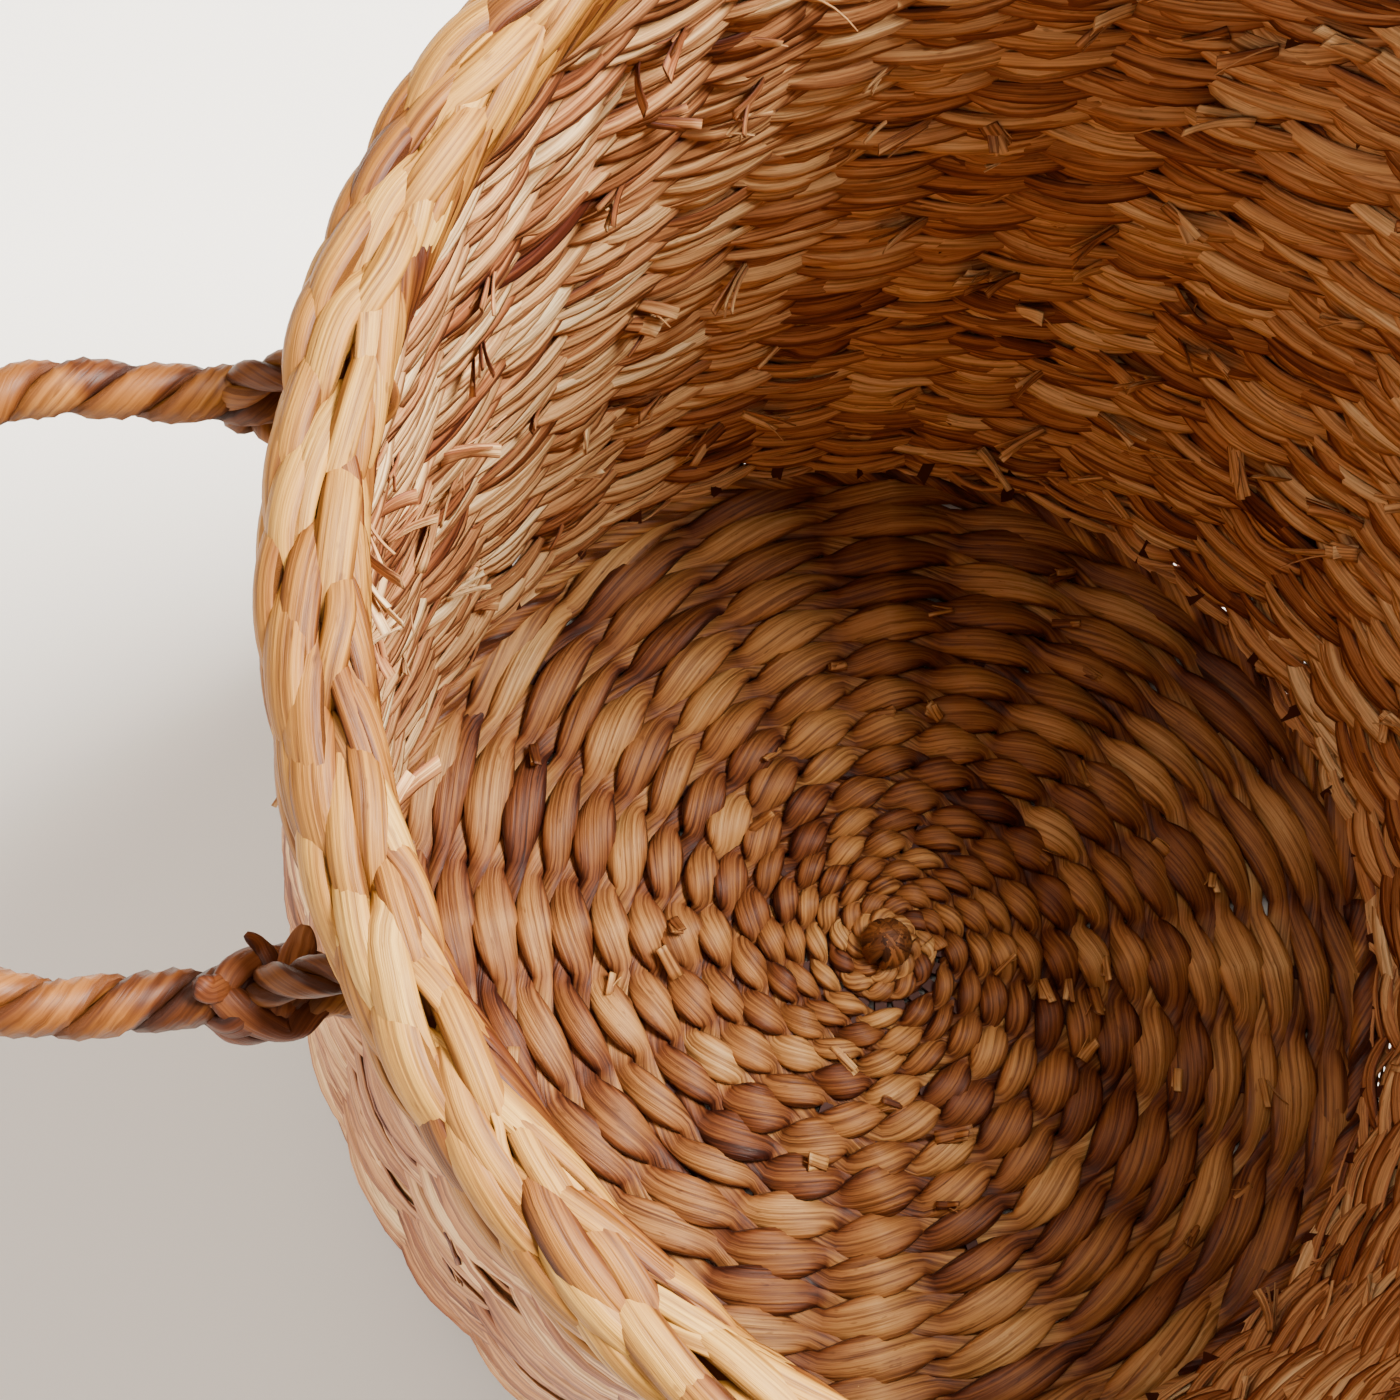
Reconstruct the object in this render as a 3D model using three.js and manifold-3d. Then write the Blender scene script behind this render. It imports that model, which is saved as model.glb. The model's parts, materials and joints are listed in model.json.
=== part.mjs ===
// Tall round laundry basket in natural fibre: a base twined on twenty stakes, a bellied wall woven on the
// forty uprights that the stakes fork into, a folded border, and two rope handles whose end eyes turn in
// the wall just under the border.
// Millimetres, +Z up. The origin is on the floor under the middle of the base. The handles lie on X.
import * as THREE from 'three';
import { mergeVertices } from 'three/addons/utils/BufferGeometryUtils.js';
import Module from 'manifold-3d';

const wasm = await Module();
wasm.setup();

// Overall form
const HEIGHT = 412; // floor to the top of the border
const FOOT_R = 176; // middle of the wall where it stands on the base
const BELLY_R = 189; // middle of the wall at its widest
const BELLY_HEIGHT = 142; // floor to the widest place
const TOP_R = 179; // middle of the wall under the border
const FIT = 0.3; // gap between pieces that touch

// Weave
const STAKES = 20; // stakes in the base
const FORK = 2; // uprights that each stake becomes
const WALL_T = 12; // wall, inside face to outside face
const WALL_COURSES = 12; // courses of ribbon in the wall
const WALL_WAVE = 1.9; // how far a course swings out and in from one upright to the next
const BASE_T = 12; // base, floor to the crest of its rows
const BASE_ROWS = 14; // twined rows from the hub to the foot of the wall
const ROW_WAVE = 1.4; // how far a row rises and dips from one stake to the next
const FOOT_ROUND = 5; // rounding of the base's lower edge

// Stakes
const STAKE_TURN = -7.5; // degrees from the handles' axis to the first stake
const STAKE_W = 4; // across a stake
const STAKE_T = 3; // through a stake
const STAKE_Z = 5.5; // floor to the middle of a stake inside the base
const FORK_RUN = 18; // from the fork to the inside of the wall
const FORK_SHARE = 0.75; // part of the way to its upright that an arm has gone at the inside of the wall
const CORNER_RISE = 14.4; // from the foot of the wall to where an arm stands upright
const UPRIGHT_SPANS = 3; // straight stretches that follow the belly
const UPRIGHT_CROWDING = 1.6; // 1 for even stretches, more for shorter ones low down

// Hub
const HUB_R = 18; // bound disc that the stakes butt against
const HUB_DISC_T = 13.5; // floor to the top of the disc
const HUB_ROUND = 2; // broken top edge of the disc
const KNOB_R = 10; // fibre knob on the disc
const KNOB_NECK_R = 8.5; // knob where it stands on the disc
const KNOB_TOP = 25; // floor to the top of the knob

// Border
const RIM_W = 20; // across the border
const RIM_H = 22; // height of the border
const RIM_WRAPS = 20; // folded strands round the border
const RIM_RELIEF = 1.1; // how far each wrap stands out
const RIM_SQUARENESS = 0.72; // section between an ellipse at 1 and a box at 0

// Handles
const ROPE_D = 13; // rope of the loop
const EYE_D = 9; // rope where it goes round through the wall
const EYE_R = 14; // middle of the eye's rope from the eye's centre
const EYE_CLEAR = 0.6; // room round the rope in its holes
const EYE_OUT = 2.5; // from the wall's outside face to the eye's centre
const HANDLE_DROP = 42; // from the top of the border to the eyes
const HANDLE_STEPS = 2; // stake steps between the two eyes of a handle
const HANDLE_LIFT = 8; // degrees that the loop stands up from level
const HANDLE_REACH = 86; // from the eyes to the middle of the loop's far side
const HANDLE_BEND = 40; // bend at each corner of the loop
const HANDLE_SPREAD = 1.5; // how far each leg leans out on its way to the bend
const KNOT_D = 20; // across the knotted splice
const KNOT_WAIST_D = 18.8; // across the middle of the knot
const KNOT_END_D = 17; // across the knot's ends
const KNOT_GAP = 1; // from the eye's rope to the knot
const KNOT_L = 24; // length of the knot

// Smoothness of round shapes
const ROUND_COLUMNS = 2; // wall and base facets to each stake
const RIM_FACETS_PER_WRAP = 3;
const RIM_SECTION_POINTS = 8;
const ROPE_SIDES = 6;
const EYE_FACETS = 14;
const LOOP_CORNER_STEPS = 5;
const HUB_FACETS = 16;
const ROUND_STEPS = 2; // facets across a quarter round

const UPRIGHTS = STAKES * FORK;
const COLUMNS = STAKES * ROUND_COLUMNS;
const STAKE_STEP = (2 * Math.PI) / STAKES;
const UPRIGHT_STEP = (2 * Math.PI) / UPRIGHTS;
const firstStake = THREE.MathUtils.degToRad(STAKE_TURN);
const wallFoot = BASE_T + FIT;
const wallTop = HEIGHT - RIM_H;

const PALE_STRAW = 0xd0a56c;
const BASE_BROWN = 0xb5793f;
const STAKE_BROWN = 0x9a6433;
const HUB_BROWN = 0x6d4526;
const ROPE_BROWN = 0xa8683c;
const KNOT_BROWN = 0x8f5330;

function fibre(colour, roughness) {
  return new THREE.MeshStandardMaterial({ color: colour, roughness, metalness: 0 });
}

// Middle of the wall at a height: a straight cone with a belly whose crest stands at the belly's height
const bellySkew = Math.log(0.5) / Math.log((BELLY_HEIGHT - BASE_T) / (wallTop - BASE_T));

function wallRadius(z) {
  const t = Math.max(z - BASE_T, 0) / (wallTop - BASE_T);
  const skewed = t ** bellySkew;
  const cone = FOOT_R + (TOP_R - FOOT_R) * t;
  const belly = BELLY_R - (FOOT_R + TOP_R) / 2;
  return cone + 4 * belly * skewed * (1 - skewed);
}

function polar(radius, angle, z) {
  return new THREE.Vector3(radius * Math.cos(angle), radius * Math.sin(angle), z);
}

// Volume inside a closed mesh, negative when its faces point in
function signedVolume(positions, faces) {
  let six = 0;
  const corner = [new THREE.Vector3(), new THREE.Vector3(), new THREE.Vector3()];
  for (let f = 0; f < faces.length; f += 3) {
    corner.forEach((c, k) => c.fromArray(positions, 3 * faces[f + k]));
    six += corner[0].dot(corner[1].cross(corner[2]));
  }
  return six / 6;
}

// Closed geometry to a solid that can be joined and cut
function solid(geometry) {
  const bare = geometry.clone();
  bare.deleteAttribute('normal');
  bare.deleteAttribute('uv');
  const merged = mergeVertices(bare, 1e-4);
  const positions = Float32Array.from(merged.attributes.position.array);
  const faces = Uint32Array.from(merged.index.array);
  if (signedVolume(positions, faces) < 0) {
    for (let f = 0; f < faces.length; f += 3) {
      [faces[f + 1], faces[f + 2]] = [faces[f + 2], faces[f + 1]];
    }
  }
  return new wasm.Manifold(new wasm.Mesh({ numProp: 3, vertProperties: positions, triVerts: faces }));
}

function toMesh(body, name, material) {
  const result = body.getMesh();
  const geometry = new THREE.BufferGeometry();
  geometry.setAttribute('position', new THREE.BufferAttribute(result.vertProperties, 3));
  geometry.setIndex(new THREE.BufferAttribute(result.triVerts, 1));
  geometry.computeVertexNormals();
  const mesh = new THREE.Mesh(geometry, material);
  mesh.name = name;
  return mesh;
}

function joined(bodies) {
  return wasm.Manifold.union(bodies);
}

// Revolved ring or disc about Z, whose points can be shifted out and up facet by facet
function turned(profile, facets, shift = () => [0, 0]) {
  const geometry = new THREE.LatheGeometry(profile, facets);
  geometry.rotateX(Math.PI / 2);
  geometry.rotateZ(Math.PI / 2);
  const position = geometry.attributes.position;
  const point = new THREE.Vector3();
  for (let v = 0; v < position.count; v += 1) {
    const facet = Math.floor(v / profile.length) % facets;
    const [out, up] = shift(v % profile.length, facet);
    point.fromBufferAttribute(position, v);
    const radius = Math.hypot(point.x, point.y);
    const scale = radius > 0 ? (radius + out) / radius : 1;
    position.setXYZ(v, point.x * scale, point.y * scale, point.z + up);
  }
  return geometry;
}

// Route whose sections stand exactly at its own points
class Route extends THREE.CatmullRomCurve3 {
  getPointAt(t) {
    return this.getPoint(t);
  }

  getTangentAt(t) {
    return this.getTangent(t);
  }
}

function swept(section, points) {
  const extrudePath = new Route(points, false, 'centripetal');
  return new THREE.ExtrudeGeometry(section, { steps: points.length - 1, extrudePath });
}

function boxSection(across, through) {
  const shape = new THREE.Shape();
  shape.moveTo(-through / 2, -across / 2);
  shape.lineTo(through / 2, -across / 2);
  shape.lineTo(through / 2, across / 2);
  shape.lineTo(-through / 2, across / 2);
  return shape;
}

function roundSection(diameter, sides) {
  const shape = new THREE.Shape();
  for (let s = 0; s < sides; s += 1) {
    const angle = (2 * Math.PI * s) / sides;
    const x = (diameter / 2) * Math.cos(angle);
    const y = (diameter / 2) * Math.sin(angle);
    if (s === 0) {
      shape.moveTo(x, y);
    } else {
      shape.lineTo(x, y);
    }
  }
  return shape;
}

// Stakes
const forkR = FOOT_R - WALL_T / 2 - FORK_RUN;

function spokePoints(angle, start) {
  return [polar(start, angle, STAKE_Z), polar(forkR, angle, STAKE_Z)];
}

// One arm of a stake: off the spoke, sideways to its column, up the corner and up the middle of the wall
function armPoints(angle, sideways) {
  const column = angle + (sideways * UPRIGHT_STEP) / 2;
  const bendTop = wallFoot + CORNER_RISE;
  const points = [
    polar(forkR - STAKE_W, angle, STAKE_Z),
    polar(FOOT_R - WALL_T / 2, angle + (column - angle) * FORK_SHARE, STAKE_Z),
    polar(wallRadius(bendTop), column, bendTop),
  ];
  for (let s = 1; s <= UPRIGHT_SPANS; s += 1) {
    const z = bendTop + (wallTop - bendTop) * (s / UPRIGHT_SPANS) ** UPRIGHT_CROWDING;
    points.push(polar(wallRadius(z), column, z));
  }
  return points;
}

// Whole stake, or with room > 0 the channel that it lies in
function stakeBody(index, room) {
  const angle = firstStake + index * STAKE_STEP;
  const section = boxSection(STAKE_W + 2 * room, STAKE_T + 2 * room);
  const start = HUB_R + FIT - room;
  const arms = [-1, 1].map((sideways) => {
    const points = armPoints(angle, sideways);
    points[points.length - 1].z += room;
    return solid(swept(section, points));
  });
  return joined([solid(swept(section, spokePoints(angle, start))), ...arms]);
}

const stakeNumbers = Array.from({ length: STAKES }, (_, index) => index);
const channels = joined(stakeNumbers.map((index) => stakeBody(index, FIT)));

// Rope handles
const eyeZ = HEIGHT - HANDLE_DROP;
const eyeAngle = (HANDLE_STEPS * STAKE_STEP) / 2;
const wallOutside = wallRadius(eyeZ) + WALL_T / 2;
const eyeX = wallOutside * Math.cos(eyeAngle) + EYE_OUT;
const eyeY = wallOutside * Math.sin(eyeAngle);
const lift = THREE.MathUtils.degToRad(HANDLE_LIFT);
const legEnd = HANDLE_REACH - HANDLE_BEND;
const legLean = Math.atan2(HANDLE_SPREAD, legEnd - EYE_R);

// Eye in its own upright plane, centred on the line that the handle turns about
function eyeBody(y, ropeDiameter) {
  const ring = new THREE.TorusGeometry(EYE_R, ropeDiameter / 2, ROPE_SIDES, EYE_FACETS);
  ring.rotateX(Math.PI / 2);
  ring.translate(0, y, 0);
  return solid(ring);
}

// Loop from one eye to the other: two legs, two round corners and the grip between them
function loopPoints() {
  const gripEnd = eyeY + HANDLE_SPREAD - HANDLE_BEND;
  const points = [new THREE.Vector3(EYE_R, -eyeY, 0)];
  for (let s = 0; s <= LOOP_CORNER_STEPS; s += 1) {
    const turn = ((Math.PI / 2) * s) / LOOP_CORNER_STEPS;
    const x = legEnd + HANDLE_BEND * Math.sin(turn);
    points.push(new THREE.Vector3(x, -gripEnd - HANDLE_BEND * Math.cos(turn), 0));
  }
  points.push(new THREE.Vector3(HANDLE_REACH, 0, 0));
  const mirrored = points.slice(0, -1).map((p) => new THREE.Vector3(p.x, -p.y, 0));
  return points.concat(mirrored.reverse());
}

function handleRope() {
  const loop = solid(swept(roundSection(ROPE_D, ROPE_SIDES), loopPoints()));
  return joined([loop, eyeBody(-eyeY, EYE_D), eyeBody(eyeY, EYE_D)]);
}

// Knot on one leg: a swollen collar round the rope
function knotBody() {
  const bore = ROPE_D / 2 + FIT;
  const diameters = [KNOT_END_D, KNOT_D, KNOT_WAIST_D, KNOT_D, KNOT_END_D];
  const profile = diameters.map((diameter, index) => {
    return new THREE.Vector2(diameter / 2, (KNOT_L * index) / (diameters.length - 1));
  });
  profile.unshift(new THREE.Vector2(bore, 0));
  profile.push(new THREE.Vector2(bore, KNOT_L), new THREE.Vector2(bore, 0));
  const collar = turned(profile, ROPE_SIDES * 2);
  collar.rotateY(Math.PI / 2);
  collar.translate(EYE_D / 2 + KNOT_GAP, 0, 0);
  collar.rotateZ(legLean);
  collar.translate(EYE_R, eyeY, 0);
  return solid(collar);
}

// Holes that both handles' eyes go through
function eyeHoles() {
  const holes = [];
  for (const turn of [0, 180]) {
    for (const y of [-eyeY, eyeY]) {
      const hole = eyeBody(y, EYE_D + 2 * EYE_CLEAR).rotate([0, -HANDLE_LIFT, 0]);
      holes.push(hole.translate([eyeX, 0, eyeZ]).rotate([0, 0, turn]));
    }
  }
  return joined(holes);
}

// Hub: a bound disc with a knob
function hubBody() {
  const profile = [
    new THREE.Vector2(0, 0),
    new THREE.Vector2(HUB_R, 0),
    new THREE.Vector2(HUB_R, HUB_DISC_T - HUB_ROUND),
    new THREE.Vector2(HUB_R - HUB_ROUND, HUB_DISC_T),
    new THREE.Vector2(KNOB_NECK_R, HUB_DISC_T),
  ];
  const knobRise = KNOB_TOP - HUB_DISC_T;
  for (let s = 1; s < ROUND_STEPS; s += 1) {
    const rise = ((Math.PI / 2) * s) / ROUND_STEPS;
    profile.push(new THREE.Vector2(KNOB_R * Math.cos(rise), HUB_DISC_T + knobRise * Math.sin(rise)));
  }
  profile.push(new THREE.Vector2(0, KNOB_TOP));
  return solid(turned(profile, HUB_FACETS));
}

// Base: a disc with a centre hole, rows on top and a flat underside
function baseBody() {
  const hole = HUB_R + FIT;
  const edge = FOOT_R + WALL_T / 2;
  const inside = FOOT_R - WALL_T / 2;
  const pitch = (inside - hole) / BASE_ROWS;
  const profile = [new THREE.Vector2(hole, 0)];
  for (let s = 0; s <= ROUND_STEPS; s += 1) {
    const turn = ((Math.PI / 2) * s) / ROUND_STEPS;
    const x = edge - FOOT_ROUND * (1 - Math.sin(turn));
    profile.push(new THREE.Vector2(x, FOOT_ROUND * (1 - Math.cos(turn))));
  }
  profile.push(new THREE.Vector2(edge, BASE_T), new THREE.Vector2(inside, BASE_T));
  const flatPoints = profile.length;
  for (let row = BASE_ROWS - 1; row >= 0; row -= 1) {
    profile.push(new THREE.Vector2(hole + pitch * row, BASE_T - ROW_WAVE));
  }
  profile.push(profile[0].clone());
  const shift = (ring, facet) => {
    const row = ring - flatPoints;
    const woven = row >= 0 && row < BASE_ROWS;
    const rises = (row + facet) % 2 === 0 ? 1 : -1;
    return [0, woven ? rises * ROW_WAVE : 0];
  };
  const disc = turned(profile, COLUMNS, shift);
  disc.rotateZ(firstStake);
  return solid(disc).subtract(channels);
}

// Wall: courses that swing out at one upright and in at the next, the other way round in the course above
function wallBody() {
  const outer = [];
  for (let course = 0; course <= WALL_COURSES; course += 1) {
    const z = wallFoot + ((wallTop - wallFoot) * course) / WALL_COURSES;
    outer.push(new THREE.Vector2(wallRadius(z) + WALL_T / 2, z));
  }
  const inner = outer.map((p) => new THREE.Vector2(p.x - WALL_T, p.y)).reverse();
  const profile = [...outer, ...inner, outer[0].clone()];
  const shift = (ring, facet) => {
    const course = ring <= WALL_COURSES ? ring : 2 * WALL_COURSES + 1 - ring;
    const plain = course <= 0 || course === WALL_COURSES;
    const outwards = (course + facet) % 2 === 0 ? 1 : -1;
    return [plain ? 0 : outwards * WALL_WAVE, 0];
  };
  const shell = turned(profile, COLUMNS, shift);
  shell.rotateZ(firstStake + UPRIGHT_STEP / 2);
  return solid(shell).subtract(channels).subtract(eyeHoles());
}

// Border: a full ring whose folded strands run slantwise over it
function rimBody() {
  const middle = wallRadius(wallTop);
  const foot = wallTop + FIT;
  const halfHeight = (HEIGHT - foot) / 2;
  const soften = (value) => Math.sign(value) * Math.abs(value) ** RIM_SQUARENESS;
  const profile = [];
  for (let s = 0; s <= RIM_SECTION_POINTS; s += 1) {
    const around = (2 * Math.PI * (s % RIM_SECTION_POINTS)) / RIM_SECTION_POINTS - Math.PI / 2;
    const x = middle + (RIM_W / 2 - RIM_RELIEF) * soften(Math.cos(around));
    profile.push(new THREE.Vector2(x, foot + halfHeight * (1 + soften(Math.sin(around)))));
  }
  const facets = RIM_WRAPS * RIM_FACETS_PER_WRAP;
  const shift = (ring, facet) => {
    const around = (2 * Math.PI * (ring % RIM_SECTION_POINTS)) / RIM_SECTION_POINTS - Math.PI / 2;
    const along = (2 * Math.PI * facet) / RIM_FACETS_PER_WRAP;
    return [RIM_RELIEF * Math.cos(around) * Math.cos(along + around), 0];
  };
  return solid(turned(profile, facets, shift));
}

function handleGroup(side, turn) {
  const handle = new THREE.Group();
  handle.add(toMesh(handleRope(), `${side}_handle_rope`, fibre(ROPE_BROWN, 0.7)));
  handle.add(toMesh(knotBody(), `${side}_handle_knot`, fibre(KNOT_BROWN, 0.75)));
  handle.rotation.set(0, -lift, turn, 'ZYX');
  handle.position.set(eyeX * Math.cos(turn), eyeX * Math.sin(turn), eyeZ);
  return handle;
}

const basket = new THREE.Group();
basket.add(toMesh(hubBody(), 'base_hub', fibre(HUB_BROWN, 0.8)));
basket.add(toMesh(baseBody(), 'base_weave', fibre(BASE_BROWN, 0.75)));
basket.add(toMesh(wallBody(), 'wall_weave', fibre(PALE_STRAW, 0.75)));
basket.add(toMesh(rimBody(), 'rim_border', fibre(PALE_STRAW, 0.7)));
for (const index of stakeNumbers) {
  const name = `stake_${String(index + 1).padStart(2, '0')}`;
  basket.add(toMesh(stakeBody(index, 0), name, fibre(STAKE_BROWN, 0.8)));
}
basket.add(handleGroup('left', Math.PI));
basket.add(handleGroup('right', 0));

export default basket;
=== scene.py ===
"""Looks of a tall round laundry basket in natural fibre: every strand of its base, wall, border and
rope handles is a body of its own shape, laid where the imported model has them. Metres, +Z up."""
import json
import math

import bpy
import numpy as np
from mathutils import Matrix, Vector

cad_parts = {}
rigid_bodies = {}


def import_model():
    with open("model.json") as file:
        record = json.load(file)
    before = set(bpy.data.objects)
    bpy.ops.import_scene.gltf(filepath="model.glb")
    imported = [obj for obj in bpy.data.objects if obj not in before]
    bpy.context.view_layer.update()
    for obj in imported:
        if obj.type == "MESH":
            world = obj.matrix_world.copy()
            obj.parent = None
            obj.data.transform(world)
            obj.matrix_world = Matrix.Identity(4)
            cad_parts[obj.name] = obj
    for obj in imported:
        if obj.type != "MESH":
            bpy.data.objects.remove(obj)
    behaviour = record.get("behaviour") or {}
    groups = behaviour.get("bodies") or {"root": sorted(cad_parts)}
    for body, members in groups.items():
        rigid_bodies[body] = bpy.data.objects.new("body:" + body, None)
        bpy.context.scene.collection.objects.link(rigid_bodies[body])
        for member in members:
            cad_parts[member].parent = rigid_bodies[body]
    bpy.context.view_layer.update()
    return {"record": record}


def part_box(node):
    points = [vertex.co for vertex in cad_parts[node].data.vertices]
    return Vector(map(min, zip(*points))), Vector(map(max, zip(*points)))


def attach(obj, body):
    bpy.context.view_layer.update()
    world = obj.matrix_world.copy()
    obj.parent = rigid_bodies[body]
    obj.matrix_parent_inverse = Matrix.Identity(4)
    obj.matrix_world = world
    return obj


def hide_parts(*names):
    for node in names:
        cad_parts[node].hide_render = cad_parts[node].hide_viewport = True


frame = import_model()

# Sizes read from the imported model
BASE_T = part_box("base_weave")[1][2]
HUB_R, _, HUB_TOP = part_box("base_hub")[1]
RIM_FOOT, HEIGHT = (corner[2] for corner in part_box("rim_border"))
RIM_H = HEIGHT - RIM_FOOT
JOINTS = {joint["name"]: joint for joint in frame["record"]["behaviour"]["joints"]}
EYE_X, _, EYE_Z = JOINTS["right_handle_swing"]["pos_m"]

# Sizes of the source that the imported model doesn't give
FIT = 0.0003  # gap between pieces that touch
WALL_T = 0.012
FOOT_R = 0.176
BELLY_R = 0.189
BELLY_HEIGHT = 0.142
TOP_R = 0.179
RIM_W = 0.020
RIM_SQUARENESS = 0.72  # section between an ellipse at 1 and a box at 0
WALL_TOP = RIM_FOOT - FIT
BELLY_SKEW = math.log(0.5) / math.log((BELLY_HEIGHT - BASE_T) / (WALL_TOP - BASE_T))

# Weave of the base and wall
STAKES = 20
FORK = 2  # uprights that each stake becomes
UPRIGHTS = FORK * STAKES
FIRST_STAKE = math.radians(-7.5)
STAKE_STEP = 2 * math.pi / STAKES
UPRIGHT_STEP = 2 * math.pi / UPRIGHTS
WALL_ROWS = 56
WALL_BANDS = 8  # pieces that the wall's rows are shared between, so that no mesh grows too large
WALL_FOOT = 0.0100  # floor to the lowest row
WALL_CUT_ENDS = 330
OUTER_CUT_END = 6  # every sixth cut end shows on the outside
BASE_CUT_ENDS = 40
PLUMP_PITCH = 0.013  # pitch of the base's full-grown rows

# The base's spiral, turn by turn: how far it moves outward, and its cells
BASE_PITCHES = [0.0064, 0.0074, 0.0085, 0.0098, 0.0110, 0.0120, 0.0127,
                0.0130, 0.0131, 0.0132, 0.0132, 0.0130, 0.0127, 0.0016]
BASE_CELLS = [12, 14, 16, 17, 18, 20, 20, 20, 20, 20, 20, 20, 20, 20]

# Rings of the hub's collar: cells, radius and height
COLLAR_RINGS = [(8, 0.0096, 0.0080), (11, 0.0152, 0.0074)]

# Rows of the border's braid: degrees round the section at either end of a leaf, its width and thickness, and
# its place along the row as a share of a cell
BORDER_ROWS = [(114, 90, 0.0070, 0.0042, 0.0), (92, 66, 0.0074, 0.0046, 0.5), (70, 40, 0.0082, 0.0056, 0.0),
               (42, 12, 0.0080, 0.0054, 0.5), (16, -14, 0.0074, 0.0044, 0.0)]
BORDER_CELLS = 47
BORDER_SPLITS = 260  # thin splits that lie on the braid
BORDER_FOLDS = 96  # leaves folded down the outer face
BORDER_TOP_ROWS = [(100, 60), (118, 58)]  # degrees round the section, and leaves
BORDER_INNER_LEAVES = 150
BORDER_CORE_D = 0.0150

# Handles
EYE_R = 0.014
EYE_D = 0.009
ROPE_D = 0.013
ROPE_LAY = 0.027  # length of one full turn of the rope's two strands
ROPE_STEP = 0.0022  # between the points of the rope's path
LEG_START = -0.0035  # a leg's end inside the wall, from the line of the hinge
LEG_TAPER = 0.008  # length over which a leg thickens from its end
HANDLE_LIFT = math.radians(8)
HANDLE_REACH = 0.086
HANDLE_BEND = 0.040
HANDLE_SPREAD = 0.0015
KNOT_START = -0.0010

# How ropes and knots are pressed flat beside the eyes: half the room there, its growth along the leg,
# the room at which nothing is pressed, and the least share of the thickness
LEG_PRESS = (0.0030, 0.45, 0.0082, 0.36)
KNOT_PRESS = (0.0004, 0.45, 0.0104, 0.24)

# Cords of the knot: width and thickness, then points as millimetres along the leg, degrees round it from the
# basket's middle upward, and millimetres out from it
KNOT_CORDS = [
    (7.6, 4.4, [(0, 70, 6), (6, 110, 7.5), (10, 145, 9.2), (15, 132, 9), (20, 105, 8), (25, 60, 6.5)]),
    (6.4, 4.2, [(24, 120, 7), (20, 62, 8.6), (14, 36, 9.4), (9, 62, 8.6), (7, 104, 7.4), (8, 150, 7)]),
    (6.6, 4.0, [(12, 132, 8.4), (11, 92, 9.6), (9, 48, 10.2), (7.5, 24, 11), (6.5, 14, 14.5)]),
    (3.6, 2.4, [(12, 84, 8.6), (14, 44, 10.4), (17.5, 34, 13)]),
    (7.0, 4.4, [(-1, 110, 5), (4, 50, 7.4), (9, 12, 8.8), (14, -24, 8.8), (19, -62, 8), (23, -100, 7)]),
    (7.0, 4.4, [(0, -60, 5.5), (6, -104, 7), (12, -146, 8.6), (18, -176, 8.8), (24, -205, 7)]),
    (7.0, 4.2, [(22, 196, 8), (16, 232, 9), (10, 264, 8.6), (5, 300, 7), (0, 330, 5.5)]),
    (6.8, 4.4, [(25, 190, 6.4), (20, 170, 8.4), (13, 120, 8.2), (5, 92, 7), (-1, 150, 5)]),
    (5.2, 3.6, [(20, 84, 7.5), (24, 96, 9), (26.5, 88, 11)]),
]

# Shades of each fibre from the darkest to the palest, as screen colours from 0 to 255
BASE_SHADES = [(64, 25, 11), (112, 61, 30), (152, 99, 52), (186, 135, 77), (216, 176, 118)]
WALL_SHADES = [(80, 32, 15), (140, 80, 45), (188, 131, 83), (221, 176, 121), (242, 213, 164)]
RIM_SHADES = [(84, 39, 14), (128, 77, 27), (162, 109, 43), (184, 133, 58), (204, 158, 80)]
ROPE_SHADES = [(50, 20, 7), (84, 42, 14), (114, 66, 25), (140, 88, 38), (164, 112, 56)]
KNOT_SHADES = [(44, 16, 6), (76, 35, 15), (108, 56, 26), (132, 78, 40), (156, 102, 58)]
HUB_SHADES = [(52, 26, 12), (84, 46, 20), (112, 66, 30), (138, 86, 44), (158, 108, 60)]
PAINTED_EDGE_SHADE = 0.34  # painted shade: how much darker a strand is at its side edges, where neighbouring strands would shade it

# Noises of a fibre, fine, broad, in patches and in flecks: waves to the metre along the strand and across it,
# and detail
FIBRE_NOISES = [(24, 980, 4.0), (14, 460, 3.0), (60, 130, 4.0), (160, 620, 2.0)]

# Studio lights: degrees round and up, distance and side in metres, watts, and colour
LIGHTS = {
    "key": (15, 58, 2.2, 1.0, 278, (1.0, 0.975, 0.915)),
    "top": (150, 64, 2.2, 1.4, 25, (1.0, 0.94, 0.87)),
    "fill": (203, 18, 2.4, 1.8, 38, (1.0, 0.90, 0.79)),
}
WORLD_COLOUR = (1.0, 0.90, 0.80, 1.0)
WORLD_STRENGTH = 0.36
FLOOR_SHADE = (253, 248, 241)
FLOOR_REACH = 6.0

# Photograph's camera
PHOTO_PIXELS = 1400
FOCAL_PIXELS = 2353
SENSOR_MM = 36
HANDLE_YAW = math.radians(4.5)
CAMERA_AT = Vector((-0.16173, -0.13937, 0.79963))
CAMERA_RIGHT = Vector((0.99259, -0.01601, 0.12035))
CAMERA_DOWN = Vector((0.01762, -0.96175, -0.27345))
CAMERA_AHEAD = Vector((0.12007, 0.27357, -0.95433))


def wall_radius(z):
    """Middle of the wall at a height: a straight cone with a belly whose crest stands low down."""
    t = np.maximum(z - BASE_T, 0) / (WALL_TOP - BASE_T)
    skewed = t ** BELLY_SKEW
    cone = FOOT_R + (TOP_R - FOOT_R) * t
    return cone + 4 * (BELLY_R - (FOOT_R + TOP_R) / 2) * skewed * (1 - skewed)


EYE_Y = (wall_radius(EYE_Z) + WALL_T / 2) * math.sin(STAKE_STEP)


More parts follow.
